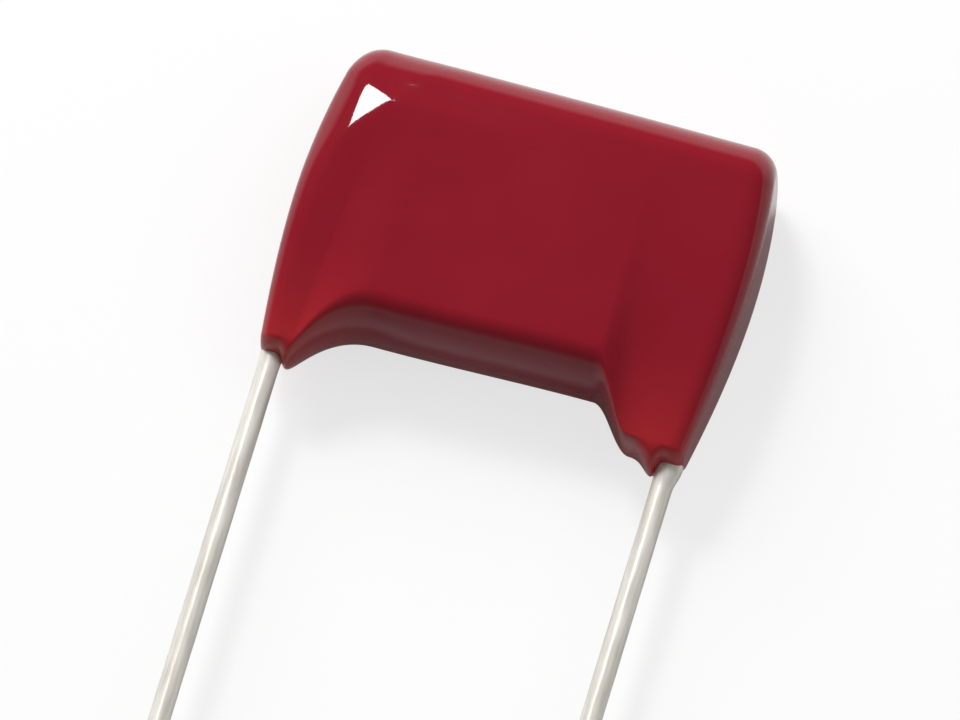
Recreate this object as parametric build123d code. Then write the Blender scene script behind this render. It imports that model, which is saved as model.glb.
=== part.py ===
from build123d import *

import os
from collections import namedtuple

# Dipped film capacitor, lying on its back. All sizes are in millimetres.
# X runs across the two wires, Y points away from their cut ends and Z out of the front face.
# While the pieces are made, X = 0 lies midway between the wires and Y = 0 near the middle of the body.

# Wires
pitch = 15.0
wire_d = 0.8
wire_out = 20.0
wire_top = 2.2
cut_chamfer = 0.08
swell_all = 0.02
swell_inside = 0.15

# Film roll and the metal sprayed on its ends
wrap_t = 0.12
spray_t = 0.35
weld_sink = 0.12
slit_height = 4.4
slit_t = 0.14

# Coating: thickness of the body, walls over the roll, and the middle of its top and underside
body_t = 5.4
face_wall = 0.7
edge_wall = 0.65
top_y = 5.26
arch_y = -5.25

# Coating: rounding of the top and the underside, and of the long edges at the ends
top_round = 1.6
under_round = 1.2
edge_r = 1.1

# Feet: half of their thickness and the slope of their faces where they start to round under, the height of that
# rounding, how blunt they are below and at the end, the rounding of their outer edges and undersides there, how
# far their tops lean in, and the beads inside the wires
foot_half = 1.45
foot_slope = 0.27
foot_round = 0.65
foot_tip = 0.85
end_tip = 0.35
foot_edge_r = 0.7
foot_r = 0.3
foot_lean = 1.35
bead_width = 0.34
bead_thin = 0.2
flat_cut = 0.02

# One end of the coating. wall covers the wire's outer side. widest is the height at which the end bulges out
# furthest, and upper_bow and lower_bow are the radii of the bulge above and below it. crest lifts the top
# there and corner_r rounds its corner. The underside is level up to arch_in from the wire's axis, arch_lift
# above arch_y. From there it runs down to a shelf, where there is one, shelf_in from the axis, and then to the
# bead that hangs inside the wire. exit_drop is how far below the arch the wire leaves, and bead_drop how much
# lower the bead hangs. Where it leaves, the wire is thicker on its outer side by swell_out, which thins to
# nothing over swell_length.
End = namedtuple(
    "End",
    "side wall widest upper_bow lower_bow crest corner_r arch_in arch_lift shelf_in shelf_drop"
    " exit_drop bead_drop swell_out swell_length",
)
LEFT = End(
    side=-1, wall=0.37, widest=-0.81, upper_bow=21.0, lower_bow=62.0, crest=0.05, corner_r=1.19,
    arch_in=3.3, arch_lift=-0.08, shelf_in=None, shelf_drop=None,
    exit_drop=1.6, bead_drop=0.3, swell_out=0.02, swell_length=0.6,
)
RIGHT = End(
    side=1, wall=0.7, widest=1.3, upper_bow=15.8, lower_bow=57.0, crest=0.08, corner_r=1.0,
    arch_in=3.45, arch_lift=0.1, shelf_in=1.6, shelf_drop=1.5,
    exit_drop=1.73, bead_drop=0.45, swell_out=0.16, swell_length=0.87,
)

# Places and sizes that follow from these
wire_x = pitch / 2
wire_r = wire_d / 2
mid_z = body_t / 2
roll_y = (top_y + arch_y) / 2
wrapped_height = top_y - arch_y - 2 * edge_wall
wrapped_t = body_t - 2 * face_wall
spray_face = wire_x - wire_r + weld_sink
roll_end = spray_face - spray_t
bead_x = wire_x - wire_r - bead_width / 2
tip_y = arch_y - RIGHT.exit_drop - wire_out

# Handle of a cubic curve that draws a quarter of a circle, as a share of the radius, and the handle of an
# even slope. Each pair is how far a strip stays level after its first ring and before its second.
ROUND = 0.5523
EVEN = (1 / 3, 1 / 3)
SOFT_THEN_FIRM = (0.66, 0.10)
BEAD_EDGE = (0.45, 0.2)

# A ring is the outline of the coating at one place along X. Its underside is at x, and its top leans by lean
# towards the middle. half is half of its thickness at the shoulder. The face runs from there down to the waist,
# where low is half of the thickness and slope that of the face, and tip is how blunt the underside is. A ring
# that follows the bulging end has set_back, the radii by which its top, its shoulder, its waist and its underside
# stand back from that end, and its x and lean aren't used.
Ring = namedtuple("Ring", "x lean top bottom half low slope shoulder waist tip set_back")


def end_x(end, y, touch):
    """Where the bulging end lies at height y, on the line that touches it at the height touch."""
    radius = end.upper_bow if touch > end.widest else end.lower_bow
    drop = touch - end.widest
    return wire_x + wire_r + end.wall - drop**2 / (2 * radius) - drop / radius * (y - touch)


def ring_places(end, ring, heights):
    """X of every handle: on one leaning plane, or set back from the bulging end."""
    if ring.set_back is None:
        span = ring.top - ring.bottom
        return [[ring.x - ring.lean * (y - ring.bottom) / span for y in row] for row in heights]
    at_top, at_shoulder, at_waist, at_foot = ring.set_back
    crown, face, flank = heights
    ridge, keel = ring.top - at_top, ring.bottom + at_foot
    ridge_x, keel_x = end_x(end, ridge, ridge) - at_top, end_x(end, keel, keel) - at_foot
    upper = [end_x(end, y, ring.shoulder) - at_shoulder for y in crown[2:] + face[1:2]]
    lower = [end_x(end, y, ring.waist) - at_waist for y in face[2:] + flank[1:2]]
    return [[ridge_x, ridge_x, *upper[:2]], [*upper[1:], *lower[:2]], [*lower[1:], keel_x, keel_x]]


def ring_curves(end, ring):
    """Six cubic curves: ridge to face, down the face and under, on the front and then on the back."""
    top, shoulder, waist, bottom = ring.top, ring.shoulder, ring.waist, ring.bottom
    third, under = (shoulder - waist) / 3, ROUND * (waist - bottom)
    heights = [
        [top, top, shoulder + ROUND * (top - shoulder), shoulder],
        [shoulder, shoulder - third, waist + third, waist],
        [waist, waist - under, bottom, bottom],
    ]
    depths = [
        [0, ROUND * ring.half, ring.half, ring.half],
        [ring.half, ring.half, ring.low + ring.slope * third, ring.low],
        [ring.low, ring.low - ring.slope * under, ring.tip, 0],
    ]
    places = ring_places(end, ring, heights)
    curves = []
    for depth in (1, -1 - flat_cut / mid_z):
        for rows in zip(places, heights, depths):
            curves.append([Vector(end.side * x, y, mid_z + depth * z) for x, y, z in zip(*rows)])
    return curves


def level_strip(first, second, ease=EVEN):
    """Patches between two rings that leave both of them level along X."""
    faces = []
    for start, finish in zip(first, second):
        leaving = [Vector(a.X + ease[0] * (b.X - a.X), a.Y, a.Z) for a, b in zip(start, finish)]
        arriving = [Vector(b.X - ease[1] * (b.X - a.X), b.Y, b.Z) for a, b in zip(start, finish)]
        faces.append(Face.make_bezier_surface([start, leaving, arriving, finish]))
    return faces


def rounded_strip(first, second):
    """Patches that leave the first ring along X and turn through a quarter circle into the second."""
    faces = []
    for start, finish in zip(first, second):
        leaving = [Vector(a.X + ROUND * (b.X - a.X), a.Y, a.Z) for a, b in zip(start, finish)]
        arriving = [
            Vector(b.X, b.Y + ROUND * (a.Y - b.Y), b.Z + ROUND * (a.Z - b.Z))
            for a, b in zip(start, finish)
        ]
        faces.append(Face.make_bezier_surface([start, leaving, arriving, finish]))
    return faces


def end_cap(ring):
    """Patches across the thickness that close the bulging end."""
    return [Face.make_bezier_surface([front, back]) for front, back in zip(ring[:3], ring[3:])]


def arch_ring(end):
    """Flat-sided oval in the middle of the body."""
    bottom = arch_y + end.arch_lift
    return Ring(
        x=wire_x - end.arch_in, lean=0, top=top_y + end.crest, bottom=bottom, half=mid_z, low=mid_z, slope=0,
        shoulder=top_y - top_round, waist=bottom + under_round, tip=ROUND * mid_z, set_back=None,
    )


def foot_ring(end, x, drop):
    """The same oval drawn down into a foot that thins towards the wire."""
    return arch_ring(end)._replace(
        x=x, lean=foot_lean, bottom=arch_y - drop, low=foot_half, slope=foot_slope,
        waist=arch_y - end.exit_drop + foot_round, tip=foot_tip,
    )


def coating_end(end):
    """All patches from the arch out to one end."""
    exit_ring = foot_ring(end, wire_x - wire_r / 2, end.exit_drop)
    turn_ring = exit_ring._replace(set_back=(end.corner_r, edge_r, foot_edge_r, foot_r))
    last_ring = exit_ring._replace(
        top=exit_ring.top - end.corner_r, bottom=exit_ring.bottom + foot_r, half=mid_z - edge_r,
        low=foot_half - foot_edge_r, tip=end_tip, set_back=(0, 0, 0, 0),
    )
    bead_ring = foot_ring(end, bead_x, end.exit_drop + end.bead_drop)._replace(tip=foot_tip - bead_thin)
    rings = [arch_ring(end), bead_ring, exit_ring, turn_ring, last_ring]
    arch, bead, wire_exit, turn, last = [ring_curves(end, ring) for ring in rings]
    if end.shelf_in is None:
        inner = level_strip(arch, bead, SOFT_THEN_FIRM)
    else:
        shelf = ring_curves(end, foot_ring(end, wire_x - end.shelf_in, end.shelf_drop))
        inner = level_strip(arch, shelf) + level_strip(shelf, bead, BEAD_EDGE)
    outer = level_strip(bead, wire_exit) + level_strip(wire_exit, turn)
    return inner + outer + rounded_strip(turn, last) + end_cap(last)


def coating_form():
    """Outside of the coating, cut flat where it rests."""
    middle = level_strip(*[ring_curves(end, arch_ring(end)) for end in (LEFT, RIGHT)])
    form = Solid(Shell(coating_end(LEFT) + middle + coating_end(RIGHT)))
    return split(form, bisect_by=Plane.XY, keep=Keep.TOP)


def oval_bar(height, thickness, x_from, x_to):
    """Bar along X with the section of a roll pressed flat."""
    plane = Plane((x_from, roll_y, mid_z), x_dir=(0, 1, 0), z_dir=(1, 0, 0))
    return extrude(plane * SlotOverall(height, thickness), amount=x_to - x_from)


def disc(x, y, radius):
    """Flat round face across a wire at height y."""
    return Plane((x, y, mid_z), z_dir=(0, 1, 0)) * Circle(radius)


def lead(end):
    """Round wire from beside the roll down to its cut end, thicker where it leaves the coating."""
    x, exit_y = end.side * wire_x, arch_y - end.exit_drop
    swell_y, inside_y = exit_y - end.swell_length, exit_y + swell_inside
    outer = extrude(disc(x, tip_y, wire_r), amount=swell_y - tip_y)
    outer = chamfer(outer.edges().sort_by(Axis.Y)[0], cut_chamfer)
    thick_r = wire_r + (swell_all + end.swell_out) / 2
    thick = disc(x + end.side * (end.swell_out - swell_all) / 2, inside_y, thick_r)
    swell = loft([disc(x, swell_y, wire_r), thick], ruled=True)
    inner = extrude(disc(x, inside_y, wire_r), amount=wire_top - inside_y)
    return outer + swell + inner


def end_spray(end, wire):
    """Sprayed metal on one end of the roll, with the groove of its wire."""
    x_from, x_to = sorted((end.side * roll_end, end.side * spray_face))
    return oval_bar(wrapped_height, wrapped_t, x_from, x_to) - wire


def film_winding():
    """Pressed roll of metallised film, with the slit that its mandrel left."""
    height, thickness = wrapped_height - 2 * wrap_t, wrapped_t - 2 * wrap_t
    roll = oval_bar(height, thickness, -roll_end, roll_end)
    return roll - oval_bar(slit_height, slit_t, -roll_end, roll_end)


def outer_wrap():
    """Plain film wound over the roll."""
    outside = oval_bar(wrapped_height, wrapped_t, -roll_end, roll_end)
    inside = oval_bar(wrapped_height - 2 * wrap_t, wrapped_t - 2 * wrap_t, -roll_end, roll_end)
    return outside - inside


def epoxy_coating(wires):
    """Dipped skin, filled with everything that it covers."""
    covered = oval_bar(wrapped_height, wrapped_t, -spray_face, spray_face)
    return coating_form() - covered - wires


def pieces():
    """Every piece by name, where it sits."""
    left, right = lead(LEFT), lead(RIGHT)
    return {
        "epoxy_coating": epoxy_coating([left, right]),
        "film_winding": film_winding(),
        "outer_wrap": outer_wrap(),
        "end_spray_left": end_spray(LEFT, left),
        "end_spray_right": end_spray(RIGHT, right),
        "lead_left": left,
        "lead_right": right,
    }


def write_parts():
    """One file for each piece, with the origin under the middle of the whole part's box."""
    made = pieces()
    box = Compound(children=[solid for piece in made.values() for solid in piece.solids()]).bounding_box()
    to_origin = Pos(-box.center().X, -box.center().Y, 0)
    os.makedirs("parts", exist_ok=True)
    for name, piece in made.items():
        export_step(to_origin * piece, f"parts/{name}.step")
    print("moved to the origin by", to_origin.position, "whole part", box.size)


write_parts()
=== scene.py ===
import math

import bmesh
import bpy
import numpy as np
from mathutils import Matrix, Vector


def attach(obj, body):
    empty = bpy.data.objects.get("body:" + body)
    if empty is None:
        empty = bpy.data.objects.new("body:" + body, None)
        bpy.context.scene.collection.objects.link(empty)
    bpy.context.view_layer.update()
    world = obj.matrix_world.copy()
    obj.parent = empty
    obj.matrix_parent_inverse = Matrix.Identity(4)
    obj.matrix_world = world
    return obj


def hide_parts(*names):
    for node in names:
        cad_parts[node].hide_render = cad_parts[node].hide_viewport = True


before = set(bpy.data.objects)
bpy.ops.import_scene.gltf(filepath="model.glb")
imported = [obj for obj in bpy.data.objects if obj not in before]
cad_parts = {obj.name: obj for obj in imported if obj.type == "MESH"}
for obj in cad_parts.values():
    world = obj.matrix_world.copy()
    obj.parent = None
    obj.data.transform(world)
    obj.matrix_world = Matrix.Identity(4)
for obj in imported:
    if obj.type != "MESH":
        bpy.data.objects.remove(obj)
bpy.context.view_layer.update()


# Film roll: plastic film with a thin layer of metal on it, wound round a mandrel and pressed flat.
# The edges of the turns show as fine lines across its flat ends.
FILM_GREYS = (0.5, 0.5, 0.52), (0.75, 0.75, 0.77)
FILM_ROUGHNESS = 0.25, 0.45


def feed(tree, socket, value):
    """Fills a socket with a value or with another node's output."""
    if isinstance(value, bpy.types.NodeSocket):
        tree.links.new(value, socket)
    else:
        socket.default_value = value


def fill(tree, node, **sockets):
    """Fills the named sockets of a node."""
    for name, value in sockets.items():
        feed(tree, node.inputs[name.replace("_", " ")], value)


def add_node(tree, kind, settings=None, **sockets):
    """New node with its settings, and its named sockets filled."""
    node = tree.nodes.new(kind)
    for key, value in (settings or {}).items():
        setattr(node, key, value)
    fill(tree, node, **sockets)
    return node


def new_finish(name, **constants):
    """New material with one principled shader, whose constant sockets are set straight on it."""
    finish = bpy.data.materials.new(name)
    finish.use_nodes = True
    shader = finish.node_tree.nodes["Principled BSDF"]
    fill(finish.node_tree, shader, **constants)
    return finish, finish.node_tree, shader


def place_on(tree, stretch=(1, 1, 1)):
    """Object coordinates, stretched along each axis."""
    where = add_node(tree, "ShaderNodeTexCoord").outputs["Object"]
    return add_node(tree, "ShaderNodeMapping", Vector=where, Scale=stretch).outputs["Vector"]


def two_tones(tree, amount, tones, start=0.0, end=1.0):
    """Colour that runs from the first tone to the second as amount goes from start to end."""
    ramp = add_node(tree, "ShaderNodeValToRGB", Fac=amount)
    for stop, place, tone in zip(ramp.color_ramp.elements, (start, end), tones):
        stop.position, stop.color = place, (*tone, 1)
    return ramp.outputs["Color"]


def between(tree, amount, low, high, start=0.0, end=1.0):
    """Number that runs from low to high as amount goes from start to end, and is level outside them."""
    spread = add_node(
        tree, "ShaderNodeMapRange", Value=amount, From_Min=start, From_Max=end, To_Min=low, To_Max=high
    )
    return spread.outputs["Result"]


def dress(node, finish):
    """Gives a CAD node its material."""
    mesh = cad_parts[node].data
    mesh.materials.clear()
    mesh.materials.append(finish)


film, tree, shader = new_finish("metallised_film_turns", Metallic=0.8, IOR=1.5)
turns = add_node(
    tree, "ShaderNodeTexWave", {"wave_type": "RINGS", "rings_direction": "X"},
    Vector=place_on(tree, (1, 0.55, 1.6)), Scale=2600.0, Distortion=1.5, Detail=2.0,
).outputs["Fac"]
fill(
    tree, shader,
    Base_Color=two_tones(tree, turns, FILM_GREYS),
    Roughness=between(tree, turns, *FILM_ROUGHNESS),
)
dress("film_winding", film)


# Outer wrap: a few turns of plain clear film that hold the pressed roll closed.
# They are heat sealed onto it and lie right under the coating.
WRAP_TONES = (0.72, 0.70, 0.62), (0.85, 0.83, 0.75)
WRAP_ROUGHNESS = 0.15, 0.3

wrap, tree, shader = new_finish("plain_film_wrap", IOR=1.5)
haze = add_node(
    tree, "ShaderNodeTexNoise", Vector=place_on(tree, (1, 3, 1)), Scale=420.0, Detail=3.0
).outputs["Fac"]
fill(
    tree, shader,
    Base_Color=two_tones(tree, haze, WRAP_TONES),
    Roughness=between(tree, haze, *WRAP_ROUGHNESS),
)
dress("outer_wrap", wrap)


# Sprayed ends: molten zinc blown onto both ends of the roll, where it joins every turn.
# It sets as a rough grey crust of small flat splashes, and each wire is welded onto one.
ZINC_GREYS = (0.56, 0.56, 0.58), (0.36, 0.36, 0.38)
ZINC_ROUGHNESS = 0.55, 0.8
CRUST_DEPTH = 0.00005

zinc, tree, shader = new_finish("sprayed_zinc_crust", Metallic=0.9)
splashes = add_node(
    tree, "ShaderNodeTexVoronoi", Vector=place_on(tree), Scale=5200.0
).outputs["Distance"]
crust = add_node(tree, "ShaderNodeBump", Strength=0.5, Distance=CRUST_DEPTH, Height=splashes)
fill(
    tree, shader,
    Base_Color=two_tones(tree, splashes, ZINC_GREYS),
    Roughness=between(tree, splashes, *ZINC_ROUGHNESS),
    Normal=crust.outputs["Normal"],
)
for end in ("left", "right"):
    dress(f"end_spray_{end}", zinc)


# Wires: round copper-clad steel wire, drawn and then tinned bright, welded to the sprayed ends.
# The tin lies in faint streaks along each, a little thicker where the wire leaves the coating, and a
# shear has cut the tips. Sizes are in millimetres.
MM = 0.001
WIRE_R = 0.4
WIRE_PITCH = 15.0
WIRE_TOP = 13.02
WIRE_TIP = -16.16
MIDDLE_X = -0.1861
MID_Z = 2.7
CUT_BEVEL = 0.08
SWELL_ALL = 0.02
SWELL_INSIDE = 0.15
STEP_INSIDE = 0.01
WANDER = (0.0025, 1.7, 1), (0.0015, 5.3, 2)
WIRES = {
    "left": dict(side=-1, exit_y=3.97, swell_out=0.02, swell_length=0.6, phase=0.4),
    "right": dict(side=1, exit_y=3.84, swell_out=0.16, swell_length=0.87, phase=2.1),
}
TIN_TONES = (0.80, 0.755, 0.675), (1.0, 0.965, 0.885)
TIN_ROUGHNESS = 0.28, 0.4
STREAK_DEPTH = 0.00001


def closed_mesh(name, points, faces, finish, slot, *nodes):
    """Piece made of points in millimetres and faces, with doubles merged and faces turned outwards."""
    mesh = bpy.data.meshes.new(name)
    mesh.from_pydata((points * MM).tolist(), [], faces.tolist())
    work = bmesh.new()
    work.from_mesh(mesh)
    bmesh.ops.remove_doubles(work, verts=work.verts, dist=1e-7)
    bmesh.ops.recalc_face_normals(work, faces=work.faces)
    for face in work.faces:
        face.smooth = True
    work.to_mesh(mesh)
    work.free()
    mesh.materials.append(finish)
    piece = bpy.data.objects.new(name, mesh)
    bpy.context.scene.collection.objects.link(piece)
    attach(piece, "root")
    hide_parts(*nodes)


def tube_faces(rows, columns):
    """Quads between neighbouring rows of points, closed round each row."""
    first, along = np.meshgrid(np.arange(columns), np.arange(rows - 1) * columns)
    near, far = along + first, along + (first + 1) % columns
    return np.stack([near, far, far + columns, near + columns], -1).reshape(-1, 4)


def eased(t):
    """Smooth step from 0 to 1, three times t squared less twice t cubed."""
    t = np.clip(t, 0, 1)
    return t * t * (3 - 2 * t)


def wire_surface(side, exit_y, swell_out, swell_length, phase, columns=64):
    """Circles round the wire's axis, one for each height y. Their radius is that of the wire, less a
    bevel at the sheared tip, plus a slow wander that is the sum of two sine waves and never passes the
    wire's own radius. Below exit_y it grows by the swelling, whose outer side stands swell_out proud and
    its inner side SWELL_ALL, so that the circle's centre moves out by half the difference."""
    tip = WIRE_TIP + CUT_BEVEL * (1 - np.cos(np.linspace(0, np.pi / 2, 7)))
    plain = np.linspace(WIRE_TIP + 1.25 * CUT_BEVEL, exit_y - swell_length, 150)
    swell = np.linspace(exit_y - swell_length, exit_y + SWELL_INSIDE, 24)[1:]
    above = np.array([exit_y + SWELL_INSIDE + STEP_INSIDE, WIRE_TOP])
    y = np.concatenate([tip, plain, swell, above])
    grown = eased((y - exit_y + swell_length) / swell_length)
    grown[-len(above):] = 0
    bevel = np.clip(CUT_BEVEL - (y - WIRE_TIP), 0, CUT_BEVEL)
    wander = sum(depth * (np.sin(rate * y + shift * phase) - 1) for depth, rate, shift in WANDER)
    radius = WIRE_R - bevel + wander + grown * (SWELL_ALL + swell_out) / 2
    centre = side * (WIRE_PITCH / 2 + grown * (swell_out - SWELL_ALL) / 2) + MIDDLE_X
    turn = np.linspace(0, 2 * np.pi, columns, endpoint=False)
    rows = np.stack([
        centre[:, None] + radius[:, None] * np.cos(turn),
        np.broadcast_to(y[:, None], (len(y), columns)),
        MID_Z + radius[:, None] * np.sin(turn),
    ], -1)
    tip_point, top_point = [np.broadcast_to((centre[i], y[i], MID_Z), (1, columns, 3)) for i in (0, -1)]
    return np.concatenate([tip_point, rows, top_point])


def worked_out(tree, operation, *terms):
    """Result of one step of arithmetic on its terms."""
    step = add_node(tree, "ShaderNodeMath", {"operation": operation})
    for socket, term in zip(step.inputs, terms):
        feed(tree, socket, term)
    return step.outputs["Value"]


tin, tree, shader = new_finish("bright_tin", Metallic=0.2, IOR=1.5)
streaks = add_node(
    tree, "ShaderNodeTexNoise", Vector=place_on(tree, (1, 0.06, 1)), Scale=4200.0, Detail=3.0
).outputs["Fac"]
grains = add_node(
    tree, "ShaderNodeTexNoise", Vector=place_on(tree, (1, 0.15, 1)), Scale=3600.0, Detail=4.0
).outputs["Fac"]
drawn = worked_out(tree, "MULTIPLY", streaks, grains)
relief = add_node(tree, "ShaderNodeBump", Strength=0.25, Distance=STREAK_DEPTH, Height=drawn)
fill(
    tree, shader,
    Base_Color=two_tones(tree, drawn, TIN_TONES, 0.12, 0.32),
    Roughness=between(tree, grains, *TIN_ROUGHNESS),
    Normal=relief.outputs["Normal"],
)
for end, sizes in WIRES.items():
    rows = wire_surface(**sizes)
    points, faces = rows.reshape(-1, 3), tube_faces(*rows.shape[:2])
    closed_mesh(f"tinned_wire_{end}", points, faces, tin, "tinned_wire", f"lead_{end}")


# Coating: red resin that the roll was dipped into twice, wires upwards, and then cured in an oven.
# It bulges over the sprayed ends, creeps down each wire as a foot with a bead inside it, and its surface
# is glossy and very slightly wavy, as it set. At the feet it is thin, and its red is painted lighter there:
# painted light for the light that shines through the thin resin from the bright wire.
BODY_T = 5.4
TOP_Y = 5.26
ARCH_Y = -5.25
TOP_ROUND = 1.6
UNDER_ROUND = 1.2
EDGE_R = 1.1
BACK_DEPTH = 1.0074
FOOT_HALF = 1.45
FOOT_SLOPE = 0.27
FOOT_ROUND = 0.45
FOOT_TIP = 0.85
END_TIP = 0.35
FOOT_EDGE_R = 0.7
FOOT_R = 0.3
FOOT_LEAN = 1.35
BEAD_TIP = 0.65
BEAD_X = 6.93
EXIT_X = 7.3
TO_ORIGIN = np.array([MIDDLE_X, 10.82, 0.0])
ROUND = 0.5523
ENDS = {
    "left": dict(
        wall=0.365, widest=-0.81, upper_bow=21.0, lower_bow=62.0, crest=0.05, corner_r=1.19,
        arch_x=4.2, arch_lift=-0.08, shelf=None, inner_ease=(0.66, 0.10), bead_drop=0.3,
    ),
    "right": dict(
        wall=0.695, widest=1.3, upper_bow=15.8, lower_bow=57.0, crest=0.08, corner_r=1.0,
        arch_x=4.05, arch_lift=0.1, shelf=(5.9, 1.5), inner_ease=(0.45, 0.2), bead_drop=0.45,
    ),
}
for end, sizes in ENDS.items():
    wire = WIRES[end]
    sizes.update(side=wire["side"], exit_drop=ARCH_Y + TO_ORIGIN[1] - wire["exit_y"])


def weights(t):
    """Four weights of a cubic curve at each t: cube of 1 - t, three times t (1 - t) squared, and so on."""
    t = np.asarray(t)[:, None]
    return np.hstack([(1 - t) ** 3, 3 * t * (1 - t) ** 2, 3 * t * t * (1 - t), t**3])


def end_x(end, y, touch):
    """Bulging end at height y, on the straight line that touches its bow at the height touch. The bow falls
    back from its widest place by the square of the way from there over twice its radius."""
    radius = end["upper_bow"] if touch > end["widest"] else end["lower_bow"]
    way = touch - end["widest"]
    return WIRE_PITCH / 2 + WIRE_R + end["wall"] - way**2 / (2 * radius) - way / radius * (y - touch)


def ring(end, x=None, drop=None, set_back=None, shrink=(0, 0, 0, 0), tip=FOOT_TIP):
    """Handles of six cubic curves round the coating at one place, three down the front and three down the
    back. The section is an oval with flat sides, level in the arch. Elsewhere it is drawn down into a foot
    that thins. With set_back, each stretch lies that far inside the bulging end. The back is a little
    deeper than the front, because the coating is cut flat where it rests."""
    half = BODY_T / 2
    top, shoulder = TOP_Y + end["crest"], TOP_Y - TOP_ROUND
    if drop is None:
        bottom, low, slope, tip, lean = ARCH_Y + end["arch_lift"], half, 0, ROUND * half, 0
        waist = bottom + UNDER_ROUND
    else:
        bottom, low, slope, lean = ARCH_Y - drop, FOOT_HALF, FOOT_SLOPE, FOOT_LEAN
        waist = ARCH_Y - end["exit_drop"] + FOOT_ROUND
    top, half, low, bottom = top - shrink[0], half - shrink[1], low - shrink[2], bottom + shrink[3]
    third, under = (shoulder - waist) / 3, ROUND * (waist - bottom)
    y = np.array([
        [top, top, shoulder + ROUND * (top - shoulder), shoulder],
        [shoulder, shoulder - third, waist + third, waist],
        [waist, waist - under, bottom, bottom],
    ])
    z = np.array([
        [0, ROUND * half, half, half],
        [half, half, low + slope * third, low],
        [low, low - slope * under, tip, 0],
    ])
    if set_back is None:
        place = x - lean * (y - bottom) / (top - bottom)
    else:
        ridge, keel = top - set_back[0], bottom + set_back[3]
        place = end_x(end, y, shoulder) - set_back[1]
        place[0, :2] = end_x(end, ridge, ridge) - set_back[0]
        place[1, 2:] = end_x(end, y[1, 2:], waist) - set_back[2]
        place[2, :2] = end_x(end, y[2, :2], waist) - set_back[2]
        place[2, 2:] = end_x(end, keel, keel) - set_back[3]
    return np.concatenate([
        np.stack([end["side"] * place, y, MID_Z + depth * z], -1) for depth in (1, -BACK_DEPTH)
    ])


def strip(first, second, ease=(1 / 3, 1 / 3), rounded=False):
    """Four rows of handles between two rings. The surface leaves both level along x by the shares in ease,
    or turns a quarter circle."""
    leaving, arriving = first.copy(), second.copy()
    across = second - first
    leaving[..., 0] += (ROUND if rounded else ease[0]) * across[..., 0]
    if rounded:
        arriving[..., 1:] -= ROUND * across[..., 1:]
    else:
        arriving[..., 0] -= ease[1] * across[..., 0]
    return np.stack([first, leaving, arriving, second])


def strips_of(end):
    """Ring in the arch, and the strips from there out to one end."""
    exit_drop = end["exit_drop"]
    arch, leaves = ring(end, x=end["arch_x"]), ring(end, x=EXIT_X, drop=exit_drop)
    bead = ring(end, x=BEAD_X, drop=exit_drop + end["bead_drop"], tip=BEAD_TIP)
    rounding = (end["corner_r"], EDGE_R, FOOT_EDGE_R, FOOT_R)
    turn = ring(end, drop=exit_drop, set_back=rounding)
    last = ring(end, drop=exit_drop, set_back=(0, 0, 0, 0), shrink=rounding, tip=END_TIP)
    if end["shelf"] is None:
        inner = [strip(arch, bead, end["inner_ease"])]
    else:
        shelf = ring(end, x=end["shelf"][0], drop=end["shelf"][1])
        inner = [strip(arch, shelf), strip(shelf, bead, end["inner_ease"])]
    return arch, inner + [strip(bead, leaves), strip(leaves, turn), strip(turn, last, rounded=True)]


# The front face sags at its upper left corner, beyond a slanting line and beside both edges.
SAG_FROM = (-5.976, 13.655)
SAG_TOWARDS = (-0.781, 0.624)
SAG_SLOPE = 0.175
SAG_LENGTH = 1.5
SAG_BEND = 0.17
RIM_SLOPE = 0.2
RIM_LENGTH = 0.7
LEFT_RIM_X = -7.27
LEFT_RIM_END = 9.5
LEFT_RIM_FADE = 3.0
TOP_RIM_FROM = (-7.08, 14.18)
TOP_RIM_TOWARDS = (0.348, 0.937)
TOP_RIM_Y = 13.74
TOP_RIM_END = 2.1
TOP_RIM_FADE = 8.0


def bent(way, length):
    """Way beyond a line, up to the full length, with a soft bend at both ends: half of s and the root of s
    squared plus the bend squared."""
    start, stop = [(s + np.sqrt(s * s + SAG_BEND**2)) / 2 for s in (way, way - length)]
    return start - stop


def beyond(x, y, start, towards):
    """Distance of each point beyond a line through start, in the direction towards."""
    return (x - start[0]) * towards[0] + (y - start[1]) * towards[1]


def sagged(points):
    """Depth by which the front face sags: a slope beyond the slanting line, and a steeper one beside the
    left and the top edge, which dies out down and across. Towards the back it all fades to nothing."""
    x, y, z = np.moveaxis(points, -1, 0)
    corner = bent(beyond(x, y, SAG_FROM, SAG_TOWARDS), SAG_LENGTH)
    left = bent(LEFT_RIM_X - x, RIM_LENGTH) * eased((y - LEFT_RIM_END) / LEFT_RIM_FADE)
    over = np.minimum(beyond(x, y, TOP_RIM_FROM, TOP_RIM_TOWARDS), y - TOP_RIM_Y)
    top = bent(over, RIM_LENGTH) * eased((TOP_RIM_END - x) / TOP_RIM_FADE)
    return (SAG_SLOPE * corner + RIM_SLOPE * (left + top)) * np.clip(z / MID_Z - 1, 0, 1)


# Steps of the grid: along each strip from the left end to the right one, and down each curve of a ring.
STRIP_STEPS = (18, 10, 12, 56, 40, 30, 20, 12, 10, 18)
ROUND_STEPS = np.linspace(0, 1, 29)
FACE_STEPS = np.concatenate([np.linspace(0, 0.26, 41), np.linspace(0.26, 1, 17)[1:]])
CURVE_STEPS = 2 * [ROUND_STEPS, FACE_STEPS, ROUND_STEPS]
CAP_STEPS = 10


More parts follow.
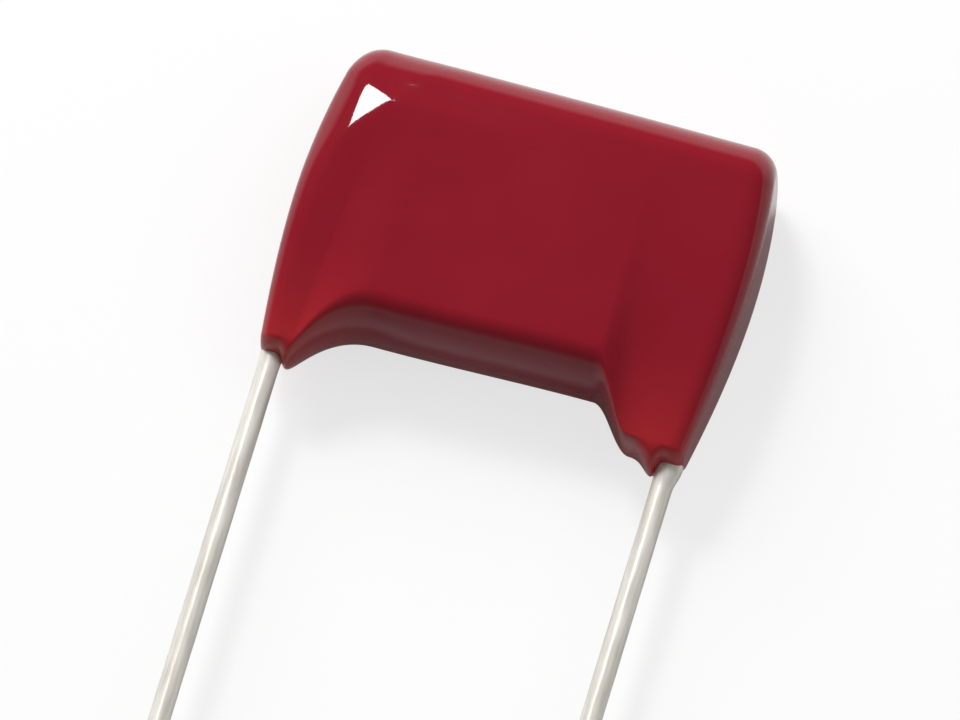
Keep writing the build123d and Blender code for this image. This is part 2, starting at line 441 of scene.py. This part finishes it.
def coating_surface():
    """Rows of points from the left end to the right end. Each strip is a cubic patchwork in both directions,
    so a point is the sum of its sixteen handles times their weights, and each row closes round the front
    and back."""
    left_arch, left = strips_of(ENDS["left"])
    right_arch, right = strips_of(ENDS["right"])
    chain = [s[::-1] for s in left[::-1]] + [strip(left_arch, right_arch)] + right
    rows = []
    for handles, count in zip(chain, STRIP_STEPS):
        curves = [
            np.einsum("mv,rvk->rmk", weights(steps), handles[:, s]) for s, steps in enumerate(CURVE_STEPS)
        ]
        front, back = [c[:, :-1] for c in curves[:3]], [c[:, :0:-1] for c in curves[:2:-1]]
        around = np.concatenate(front + back, axis=1)
        along = np.linspace(0, 1, count + 1)[:-1]
        rows.append(np.einsum("nu,uvk->nvk", weights(along), around))
    points = np.concatenate(rows + [around[-1:]]) + TO_ORIGIN
    points[..., 2] = np.maximum(points[..., 2], 0)
    points[..., 2] -= sagged(points)
    return points


def end_faces(row):
    """New points and quads that close a row straight across the thickness: each point lies on the line from
    one of its front half to the one behind it."""
    columns = len(row)
    half = columns // 2
    front, back = row[: half + 1], row[np.r_[0, columns - 1 : half - 1 : -1]]
    share = np.linspace(0, 1, CAP_STEPS + 1)[:, None, None]
    points = front + share * (back - front)
    first, down = np.meshgrid(np.arange(half), np.arange(CAP_STEPS) * (half + 1))
    near, far = down + first, down + first + half + 1
    return points.reshape(-1, 3), np.stack([near, near + 1, far + 1, far], -1).reshape(-1, 4)


def coating_mesh():
    """Points and quads of the whole coating: the surface, then what closes each end."""
    rows = coating_surface()
    points, faces = [rows.reshape(-1, 3)], [tube_faces(*rows.shape[:2])]
    for row in (rows[0], rows[-1]):
        cap, quads = end_faces(row)
        faces.append(quads + sum(len(p) for p in points))
        points.append(cap)
    return np.concatenate(points), np.concatenate(faces)


RESIN_REDS = (0.278, 0.0095, 0.021), (0.298, 0.011, 0.024)
FEET_PAINTED_LIGHT_RED = 0.46, 0.024, 0.032, 1
RESIN_ROUGHNESS = 0.30, 0.35
WAVE_DEPTH = 0.00004
FEET_FROM_X = 4.2 * MM, 6.2 * MM
FEET_FROM_Y = 9.0 * MM, 3.8 * MM

resin, tree, shader = new_finish(
    "dipped_resin", Metallic=0.0, Coat_Weight=1.0, Coat_Roughness=0.07, Coat_IOR=1.42, Specular_IOR_Level=0.0
)
cloud = add_node(
    tree, "ShaderNodeTexNoise", Vector=place_on(tree), Scale=260.0, Detail=2.0
).outputs["Fac"]
place = add_node(tree, "ShaderNodeSeparateXYZ", Vector=place_on(tree)).outputs
# Painted light: towards the feet the base red runs to a lighter red, which stands in for light shining
# through the thin resin.
beside = between(tree, worked_out(tree, "ABSOLUTE", place["X"]), 0, 1, *FEET_FROM_X)
below = worked_out(tree, "POWER", between(tree, place["Y"], 0, 1, *FEET_FROM_Y), 2.0)
painted_light_at_feet = worked_out(tree, "MULTIPLY", beside, below)
thick = two_tones(tree, cloud, RESIN_REDS, 0.3, 0.7)
red_and_painted_light = add_node(tree, "ShaderNodeMixRGB", Fac=painted_light_at_feet, Color1=thick, Color2=FEET_PAINTED_LIGHT_RED)
waves = add_node(tree, "ShaderNodeTexNoise", Vector=place_on(tree), Scale=700.0, Detail=1.0)
flow = add_node(
    tree, "ShaderNodeBump", Strength=0.10, Distance=WAVE_DEPTH, Height=waves.outputs["Fac"]
).outputs["Normal"]
fill(
    tree, shader,
    Base_Color=red_and_painted_light.outputs["Color"],
    Roughness=between(tree, cloud, *RESIN_ROUGHNESS),
    Normal=flow,
    Coat_Normal=flow,
)
closed_mesh("resin_coating", *coating_mesh(), resin, "coating_resin", "epoxy_coating")


# Floor: a sheet of matt paper under the part. Its colour is painted shade: white where the light comes from
# and greyer towards the viewer, for light that falls off across the sheet. The camera sees all of it lifted
# to white, and glossy and clear things show a share of that lift.
FLOOR_HALF = 3.0
FLOOR_Z = -0.00001
TOWARDS_LIGHT = (-0.55, 0.83, 0.0)
PAINTED_SHADE_REACH = 0.014
PAPER_PAINTED_SHADE = (0.62, 0.62, 0.62), (0.90, 0.90, 0.90)
LIFT = 0.40, 0.16
LIFT_IN_GLOSS = 0.05
WHITE_TO_CAMERA = 0.6

table = bpy.data.meshes.new("paper_sheet")
corners = [(x * FLOOR_HALF, y * FLOOR_HALF, FLOOR_Z) for x, y in ((-1, -1), (1, -1), (1, 1), (-1, 1))]
table.from_pydata(corners, [], [(0, 1, 2, 3)])
floor = bpy.data.objects.new("paper_sheet", table)
bpy.context.scene.collection.objects.link(floor)
paper, tree, shader = new_finish("paper_with_painted_shade", Roughness=0.9, Specular_IOR_Level=0.0)
spot = add_node(tree, "ShaderNodeTexCoord").outputs["Object"]
way = add_node(tree, "ShaderNodeVectorMath", {"operation": "DOT_PRODUCT"}, Vector=spot)
feed(tree, way.inputs[1], TOWARDS_LIGHT)
# Painted shade: the paper's colour runs from grey in front to white towards the light.
painted_falloff = between(tree, way.outputs["Value"], 0, 1, 0, PAINTED_SHADE_REACH)
fill(tree, shader, Base_Color=two_tones(tree, painted_falloff, PAPER_PAINTED_SHADE))
rays = add_node(tree, "ShaderNodeLightPath").outputs
mirrored = worked_out(tree, "MAXIMUM", rays["Is Glossy Ray"], rays["Is Transmission Ray"])
shown = worked_out(tree, "MULTIPLY_ADD", mirrored, LIFT_IN_GLOSS, rays["Is Camera Ray"])
lifted = worked_out(tree, "MULTIPLY", shown, between(tree, painted_falloff, *LIFT))
both = add_node(tree, "ShaderNodeAddShader")
feed(tree, both.inputs[0], shader.outputs["BSDF"])
feed(tree, both.inputs[1], add_node(tree, "ShaderNodeEmission", Strength=lifted).outputs["Emission"])
to_camera = worked_out(tree, "MULTIPLY", rays["Is Camera Ray"], WHITE_TO_CAMERA)
seen = add_node(tree, "ShaderNodeMixShader", Fac=to_camera)
feed(tree, seen.inputs[1], both.outputs["Shader"])
feed(tree, seen.inputs[2], add_node(tree, "ShaderNodeEmission", Strength=1.0).outputs["Emission"])
fill(tree, tree.nodes["Material Output"], Surface=seen.outputs["Shader"])
table.materials.append(paper)


# Light: a small soft box up to the left behind the part, two wide ones to fill, and a room with a dim
# ceiling, whose wall is pale behind the part and grey in front.
WALL_LEVELS = 0.25, 0.95
WALL_TURN = -0.3, 0.3
CEILING_LEVEL = 0.1
CEILING_FROM = 0.25
LAMP_DISTANCE = 0.5
LAMPS_AIM = Vector((0, 0.01, 0.0027))

world = bpy.data.worlds.new("room")
bpy.context.scene.world = world
world.use_nodes = True
tree = world.node_tree
outwards = add_node(tree, "ShaderNodeTexCoord").outputs["Generated"]
heading = add_node(tree, "ShaderNodeSeparateXYZ", Vector=outwards).outputs
wall = between(tree, heading["Y"], *WALL_LEVELS, *WALL_TURN)
level = between(tree, heading["Z"], wall, CEILING_LEVEL, end=CEILING_FROM)
fill(tree, tree.nodes["Background"], Color=(1, 1, 1, 1), Strength=level)


def soft_box(name, towards, width, watts, in_gloss):
    """Square lamp in the direction towards from the part's middle, facing it."""
    lamp = bpy.data.lights.new(name, "AREA")
    lamp.shape, lamp.size, lamp.energy = "SQUARE", width, watts
    box = bpy.data.objects.new(name, lamp)
    away = Vector(towards).normalized()
    box.location = away * LAMP_DISTANCE + LAMPS_AIM
    box.rotation_euler = away.to_track_quat("Z", "Y").to_euler()
    box.visible_camera = False
    box.visible_glossy = in_gloss
    bpy.context.scene.collection.objects.link(box)


soft_box("key", (-0.344, 0.457, 0.82), 0.10, 1.1, in_gloss=True)
soft_box("side", (-0.539, 0.539, 0.647), 0.3, 1.15, in_gloss=False)
soft_box("over", (0.45, 0.20, 0.87), 0.4, 0.55, in_gloss=False)


# Camera: far off, over the front face, a little to the right of it and towards the wires' tips. It is
# turned so that the part lies aslant, and its picture is 960 pixels wide.
CAMERA_YAW, CAMERA_PITCH, CAMERA_ROLL = (math.radians(a) for a in (6.537, 15.526, 17.074))
CAMERA_DISTANCE = 0.9033
CAMERA_AIM = Vector((0.0000293, 0.010035, 0.0027))
AIM_TO_LEFT = 0.0015655
AIM_DOWN = 0.0037308
PIXELS_PER_METRE = 27557.8
IMAGE_WIDTH = 960

reach = math.cos(CAMERA_PITCH)
back = Vector((math.sin(CAMERA_YAW) * reach, -math.sin(CAMERA_PITCH), math.cos(CAMERA_YAW) * reach))
along = Vector((0, 1, 0))
along = (along - along.dot(back) * back).normalized()
across = along.cross(back)
right = math.cos(CAMERA_ROLL) * across + math.sin(CAMERA_ROLL) * along
up = math.cos(CAMERA_ROLL) * along - math.sin(CAMERA_ROLL) * across
place = CAMERA_AIM - AIM_TO_LEFT * right - AIM_DOWN * up + CAMERA_DISTANCE * back
lens = bpy.data.cameras.new("camera")
lens.sensor_width = 36.0
lens.lens = lens.sensor_width * PIXELS_PER_METRE * CAMERA_DISTANCE / IMAGE_WIDTH
lens.clip_end = 20.0
camera = bpy.data.objects.new("camera", lens)
camera.matrix_world = Matrix.Translation(place) @ Matrix((right, up, back)).transposed().to_4x4()
bpy.context.scene.collection.objects.link(camera)
bpy.context.scene.camera = camera
bpy.context.scene.view_settings.view_transform = "Standard"
